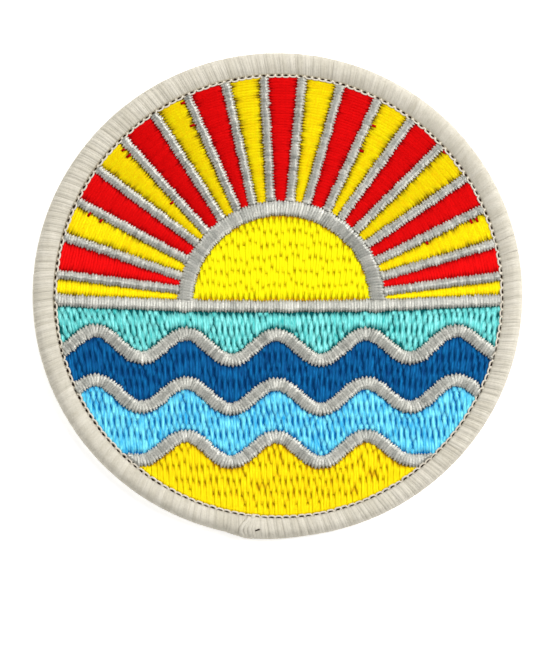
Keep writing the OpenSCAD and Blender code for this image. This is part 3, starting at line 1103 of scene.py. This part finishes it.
# How far the loops' ends lie below the fields, how far their middles rise from there, half their height,
# and how much they differ in size and in place, as shares
LOOP_LOW, LOOP_HIGH = 0.06 * MM, 0.12 * MM
LOOP_H = 0.09 * MM
LOOP_SIZE_SPREAD, LOOP_PLACE_SPREAD = 0.08, 0.05
# A needle hole, a dark strand of painted shade: share of the loop and share of its width, how far below the
# fields it lies, and half its height
HOLE_RUN = np.array([0.29, 0.36, 0.5, 0.64, 0.71])
HOLE_WIDTH = np.array([0.3, 0.85, 1, 0.85, 0.3])
HOLE_LOW, HOLE_H = 0.03 * MM, 0.04 * MM
# From where before the lap's start to where past it there are no holes, under the thread's end
HOLES_STOP, HOLES_GO_ON = 0.8 * DEGREE, 2.2 * DEGREE
# The seam under the chain: how far it runs under the border, how far below the fields it lies, and its
# thickness
SEAM_UNDER, SEAM_LOW, SEAM_T = 0.1 * MM, 0.1 * MM, 0.2 * MM


def round_picture(name, angles, reach, level, half_w, half_h, tone, material):
    """Strands that run round the picture's circle, reach inside the border's wall."""
    radius = PICTURE_R - reach
    centre = np.stack([
        PICTURE_CENTRE[0] + radius * np.cos(angles),
        PICTURE_CENTRE[1] + radius * np.sin(angles), level], axis=-1)
    across = np.stack([-np.cos(angles), -np.sin(angles), np.zeros_like(angles)], axis=-1)
    return strands(name, centre, across, half_w, half_h, tone, np.zeros(level.shape), material)


class PATCH_OT_chain(bpy.types.Operator):
    """Lay the chain of small loops and needle holes along the border's inner edge"""
    bl_idname = "patch.chain"
    bl_label = "Inner chain"

    def execute(self, context):
        size = context.scene.patch_border
        tints = colours()
        random = random_for("chain")
        step = 2 * np.pi / size.loops
        first = np.arange(size.loops)[:, None] * step
        uneven = random.normal(1, LOOP_SIZE_SPREAD, (size.loops, 1))
        places = first + step * random.normal(0, LOOP_PLACE_SPREAD, (size.loops, 1))
        level = FIELD_TOP - LOOP_LOW + LOOP_HIGH * LOOP_RISE * uneven
        material = thread("chain_thread", tints.chain, tints.border, tints.border_deep, shine=0.1)
        loops = round_picture(
            "chain", places + step * LOOP_RUN, size.chain_reach * LOOP_REACH * uneven, level,
            np.full(level.shape, size.chain_w), np.full(level.shape, LOOP_H), np.ones(size.loops), material)
        lap_from = joint_span()[0]
        open_holes = ((first < lap_from - HOLES_STOP) | (first > lap_from + HOLES_GO_ON))[:, 0]
        even = np.ones((open_holes.sum(), len(HOLE_RUN)))
        # The needle holes are dark strands of painted shade.
        holes = round_picture(
            "holes", places[open_holes] + step * HOLE_RUN, size.hole_reach * even,
            (FIELD_TOP - HOLE_LOW) * even, size.hole_w * HOLE_WIDTH * uneven[open_holes], HOLE_H * even,
            np.zeros(len(even)), painted_shade_material("needle_hole", tints.hole))
        seated([loops, holes, self.seam(context)], "inner_chain", "border_thread")
        return {"FINISHED"}

    def seam(self, context):
        """The flat ring under the chain, darker than the border: partly a seam thread, partly painted shade
        for the gaps between the chain's loops and holes.
        """
        size = context.scene.patch_border
        bpy.ops.object.select_all(action="DESELECT")
        outer = PICTURE_R + SEAM_UNDER
        bpy.ops.mesh.primitive_circle_add(
            vertices=192, radius=outer, location=(*PICTURE_CENTRE, FIELD_TOP - SEAM_LOW))
        ring = context.object
        bpy.ops.object.transform_apply(location=True)
        bpy.ops.object.mode_set(mode="EDIT")
        bpy.ops.mesh.select_all(action="SELECT")
        bpy.ops.mesh.extrude_edges_move()
        inner = (PICTURE_R - size.seam_w) / outer
        bpy.ops.transform.resize(value=(inner, inner, 1), center_override=(*PICTURE_CENTRE, 0))
        bpy.ops.object.mode_set(mode="OBJECT")
        wall = ring.modifiers.new("Thickness", "SOLIDIFY")
        wall.thickness = SEAM_T
        bpy.ops.object.modifier_apply(modifier=wall.name)
        give(ring, painted_shade_material("seam", colours().seam))
        return ring


class PATCH_OT_fields(bpy.types.Operator):
    """Fill the sun, the three seas and the sand with lines of stitches"""
    bl_idname = "patch.fields"
    bl_label = "Filled fields"

    def execute(self, context):
        for field in FIELDS:
            filled_field(field)
        return {"FINISHED"}


class PATCH_OT_level_columns(bpy.types.Operator):
    """Stitch the horizon and the three wavy columns"""
    bl_idname = "patch.level_columns"
    bl_label = "Horizon and waves"

    def execute(self, context):
        level_column("horizon", [SUN_CENTRE[0] - ARCH_MIDDLE_R, SUN_CENTRE[0] + ARCH_MIDDLE_R])
        for node in WAVES:
            level_column(node)
        return {"FINISHED"}


# How far the arch's rows run on below the half circle, in radians
ARCH_RUN_ON = 0.03


class PATCH_OT_arch(bpy.types.Operator):
    """Stitch the arch round the sun"""
    bl_idname = "patch.arch"
    bl_label = "Sun arch"

    def execute(self, context):
        node = "sun_arch"
        size = stitches()
        random = random_for(node)
        angles = rows_along(-ARCH_RUN_ON, math.pi + ARCH_RUN_ON, size.satin_pitch / ARCH_MIDDLE_R)
        outwards = np.column_stack([np.cos(angles), np.sin(angles)])
        round_sun = np.column_stack([-outwards[:, 1], outwards[:, 0]])
        ways = out_of_square(ARCH, outwards, round_sun, random)
        places = SUN_CENTRE + outwards * ARCH_MIDDLE_R
        starts, ends = across_column(outline(node), places, ways, ARCH.reach, random)
        satin(
            node, ARCH, starts, ends, size.satin_spread * size.satin_pitch, grey_thread("arch_thread"),
            grey_padding("arch_padding"), random)
        return {"FINISHED"}


class PATCH_OT_spokes(bpy.types.Operator):
    """Stitch the straight grey columns between the rays"""
    bl_idname = "patch.spokes"
    bl_label = "Spokes"

    def execute(self, context):
        size = stitches()
        material = grey_thread("spoke_thread")
        under = grey_padding("spoke_padding")
        for node in SPOKES:
            edges = outline(node)
            random = random_for(node)
            sides = long_sides(edges)
            middle = sides.reshape(-1, 2).mean(axis=0)
            way = unit(sides[0, 1] - sides[0, 0])
            way = way * np.sign(way @ (middle - SUN_CENTRE))
            cuts = crossings(edges, middle, way)
            spots = rows_along(cuts[0], cuts[-1], size.spoke_pitch)
            square = np.tile([-way[1], way[0]], (len(spots), 1))
            ways = out_of_square(SPOKE, square, way, random)
            starts, ends = across_column(edges, middle + way * spots[:, None], ways, SPOKE.reach, random)
            satin(node, SPOKE, starts, ends, size.spoke_spread * size.spoke_pitch, material, under, random)
        return {"FINISHED"}


# How much a ray's stitches differ in direction, as run over rise, and in how far they are tucked under
RAY_SLEW = 0.02
TUCK_SPREAD = 0.04 * MM


def ray_lines(edges, way, random):
    """Ends of a ray's stitches, square to its middle line."""
    size = stitches()
    middle = edges.reshape(-1, 2).mean(axis=0)
    square = np.array([-way[1], way[0]])
    along = (edges.reshape(-1, 2) - middle) @ way
    starts, ends = [], []
    for spot in rows_along(along.min(), along.max(), size.ray_pitch):
        place = middle + way * spot
        aside = unit(square + way * random.normal(0, RAY_SLEW))
        rim_from, rim_to = rim_crossings(place, aside, rim())
        cuts = crossings(edges, place, aside)
        for a, b in zip(cuts[::2], cuts[1::2]):
            tuck_a, tuck_b = size.tuck + random.normal(0, TUCK_SPREAD, 2)
            a, b = max(a - tuck_a, rim_from), min(b + tuck_b, rim_to)
            if b - a > SHORTEST_IN_RAY:
                starts.append(place + aside * a)
                ends.append(place + aside * b)
    return np.array(starts), np.array(ends)


# Rays that lean further, as their run over their rise, have no strays
STRAY_LEAN = 3.2
# From which share of a ray's length outwards it has strays, and how fast their chance grows from there
STRAYS_FROM, STRAYS_MORE = 0.2, 0.13
# How long they are in millimetres, half their width and height, and how much painted shade they take
STRAY_SHORT, STRAY_LONG = 0.7, 1.05
STRAY_W, STRAY_H = 0.2 * MM, 0.07 * MM
STRAY_SHADE = 0.5


def strays(starts, ends, beyond, random):
    """Ends of the few red stitches that come out again beyond the spoke, on the side away from the top.

    beyond is how far past the end of a stitch they come out.
    """
    picked_from, picked_to = [], []
    reach = np.linalg.norm((starts + ends) / 2 - SUN_CENTRE, axis=1)
    outward = (reach - reach.min()) / (reach.max() - reach.min())
    for start, end, out in zip(starts, ends, outward):
        lean_start, lean_end = (abs((p - SUN_CENTRE)[0] / (p - SUN_CENTRE)[1]) for p in (start, end))
        for tip, other, away in ((start, end, lean_start > lean_end), (end, start, lean_end > lean_start)):
            if away and lean_start < STRAY_LEAN and random.random() < STRAYS_MORE * (out - STRAYS_FROM):
                way = unit(tip - other)
                picked_from.append(tip + way * beyond)
                picked_to.append(tip + way * (beyond + random.uniform(STRAY_SHORT, STRAY_LONG) * MM))
    return np.array(picked_from).reshape(-1, 2), np.array(picked_to).reshape(-1, 2)


def spoke_width():
    """Distance between the long sides of a spoke."""
    one, other = long_sides(outline(SPOKES[0]))
    way = unit(one[1] - one[0])
    return abs((other[0] - one[0]) @ np.array([-way[1], way[0]]))


# How much longer the yellow and red rays' stitches dip at the spokes and how much more painted shade their
# ends take
NOTCHES = {"yellow": 1.12, "red": 1.0}
# How that differs from stitch to stitch: length of the dip, width that the end loses, and painted shade
NOTCH_DIP, NOTCH_NARROW, NOTCH_SHADE = (0.6, 1.1), (0.68, 0.95), (0.1, 1)


class PATCH_OT_rays(bpy.types.Operator):
    """Stitch the yellow and red rays, square to their middle lines"""
    bl_idname = "patch.rays"
    bl_label = "Rays"

    def execute(self, context):
        looks = {}
        for kind in NOTCHES:
            light, dark, shade_tint = tints_of(kind)
            looks[kind] = (
                thread(kind + "_thread", light, dark, shade_tint), painted_shade_material(kind + "_padding", shade_tint))
        beyond = spoke_width() - stitches().tuck
        for node in RAYS:
            kind = node.split("_")[1]
            material, under = looks[kind]
            random = random_for(node)
            starts, ends, threads = self.threads(node, NOTCHES[kind], material, random)
            parts = [threads]
            if kind == "red":
                stray_from, stray_to = strays(starts, ends, beyond, random)
                if len(stray_from):
                    parts.append(self.stray_threads(stray_from, stray_to, material))
            parts.append(padding(node, RAY_PRESS, under))
            seated(parts, node + "_satin", kind + "_thread", [node])
        return {"FINISHED"}

    def threads(self, node, notch, material, random):
        """A ray's stitches, with their ends in plan."""
        size = stitches()
        edges = outline(node)
        sides = long_sides(edges)
        leans = unit(sides[:, 1] - sides[:, 0])
        leans = leans * np.sign(leans @ (edges.reshape(-1, 2).mean(axis=0) - SUN_CENTRE))[:, None]
        starts, ends = ray_lines(edges, unit(leans.mean(axis=0)), random)
        each_end = (len(starts), 2)
        # Painted shade: the rays' stitch ends darken where they go under the spokes.
        sinks = Ends(
            np.full(each_end, size.edge_depth), size.edge_dip * notch * random.uniform(*NOTCH_DIP, each_end),
            random.uniform(*NOTCH_NARROW, each_end),
            np.minimum(notch * random.uniform(*NOTCH_SHADE, each_end), 1))
        body = flat_stitches(
            node, starts, ends, sinks, size.ray_spread * size.ray_pitch, size.ray_h, 1, material, random)
        return starts, ends, body

    def stray_threads(self, starts, ends, material):
        """The strays of a ray."""
        level = np.full((len(starts), 2), FIELD_TOP)
        along = np.column_stack([np.zeros(len(starts)), np.linalg.norm(ends - starts, axis=1)])
        centre, across = stitched(starts, ends, along, level)
        even = np.ones(level.shape)
        return strands(
            "strays", centre, across, STRAY_W * even, STRAY_H * even, np.zeros(len(starts)),
            STRAY_SHADE * even, material)


# The floor's radius, and the lights: name, property of its power, width and place
FLOOR_R = 4
LIGHTS = [
    ("right light", "key_power", 0.45, (0.6, 0.16, 0.55)),
    ("left light", "side_power", 0.45, (-0.62, 0.05, 0.55)),
    ("far light", "top_power", 0.5, (0.05, 0.75, 0.6)),
]


class PATCH_OT_stage(bpy.types.Operator):
    """Set up the floor, the lights and the camera"""
    bl_idname = "patch.stage"
    bl_label = "Stage"

    def execute(self, context):
        scene = context.scene
        stage = scene.patch_stage
        bpy.ops.object.select_all(action="DESELECT")
        bpy.ops.mesh.primitive_circle_add(vertices=96, radius=FLOOR_R, fill_type="NGON", location=(0, 0, 0))
        floor = context.object
        floor.name = "floor"
        net = Net("floor")
        grain = net.noise(30 * MM)
        tint = tuple(colours().floor)
        give(floor, net.finish({
            "Base Color": net.blend(grain, tuple(c * 0.97 for c in tint), tint),
            "Roughness": 0.9,
            "Specular IOR Level": 0.1,
            "Emission Color": (1, 1, 1),
            "Emission Strength": stage.glow,
        }))

        for name, watts, side, place in LIGHTS:
            data = bpy.data.lights.new(name, "AREA")
            data.energy = getattr(stage, watts)
            data.shape = "SQUARE"
            data.size = side
            lamp = bpy.data.objects.new(name, data)
            scene.collection.objects.link(lamp)
            lamp.location = place
            lamp.rotation_euler = (-lamp.location).to_track_quat("-Z", "Y").to_euler()
            lamp.visible_camera = False

        world = bpy.data.worlds.new("studio")
        scene.world = world
        world.use_nodes = True
        background = world.node_tree.nodes["Background"]
        background.inputs["Color"].default_value = (1, 1, 1, 1)
        background.inputs["Strength"].default_value = stage.sky

        data = bpy.data.cameras.new("camera")
        camera = bpy.data.objects.new("camera", data)
        scene.collection.objects.link(camera)
        frame_h = stage.frame_w * IMAGE_H / IMAGE_W
        data.lens = data.sensor_width * stage.distance / frame_h
        back = np.array([0, -math.cos(stage.elevation), math.sin(stage.elevation)])
        aim = np.array([0, -stage.aim_drop, PATCH_MIDDLE_Z])
        camera.location = aim + back * stage.distance
        camera.rotation_euler = (math.pi / 2 - stage.elevation, 0, 0)
        data.clip_start = 0.01
        data.clip_end = 20
        scene.camera = camera
        scene.view_settings.view_transform = "Standard"
        return {"FINISHED"}


OPERATORS = [
    PATCH_OT_base_cloth, PATCH_OT_border, PATCH_OT_border_joint, PATCH_OT_chain, PATCH_OT_fields,
    PATCH_OT_level_columns, PATCH_OT_arch, PATCH_OT_spokes, PATCH_OT_rays, PATCH_OT_stage,
]


class PATCH_PT_pieces(bpy.types.Panel):
    """The pieces of the patch"""
    bl_idname = "PATCH_PT_pieces"
    bl_label = "Patch"
    bl_space_type = "VIEW_3D"
    bl_region_type = "UI"
    bl_category = "Patch"

    def draw(self, context):
        for operator in OPERATORS:
            self.layout.operator(operator.bl_idname)


GROUPS = {
    "patch_stitches": PatchStitches,
    "patch_border": PatchBorder,
    "patch_colours": PatchColours,
    "patch_stage": PatchStage,
}


def register():
    for name, group in GROUPS.items():
        bpy.utils.register_class(group)
        setattr(bpy.types.Scene, name, bpy.props.PointerProperty(type=group))
    for operator in OPERATORS:
        bpy.utils.register_class(operator)
    bpy.utils.register_class(PATCH_PT_pieces)


def unregister():
    bpy.utils.unregister_class(PATCH_PT_pieces)
    for operator in reversed(OPERATORS):
        bpy.utils.unregister_class(operator)
    for name, group in reversed(GROUPS.items()):
        delattr(bpy.types.Scene, name)
        bpy.utils.unregister_class(group)


def main():
    register()
    bpy.ops.patch.base_cloth()
    bpy.ops.patch.border()
    bpy.ops.patch.border_joint()
    bpy.ops.patch.chain()
    bpy.ops.patch.fields()
    bpy.ops.patch.level_columns()
    bpy.ops.patch.arch()
    bpy.ops.patch.spokes()
    bpy.ops.patch.rays()
    bpy.ops.patch.stage()


if __name__ == "__main__":
    main()
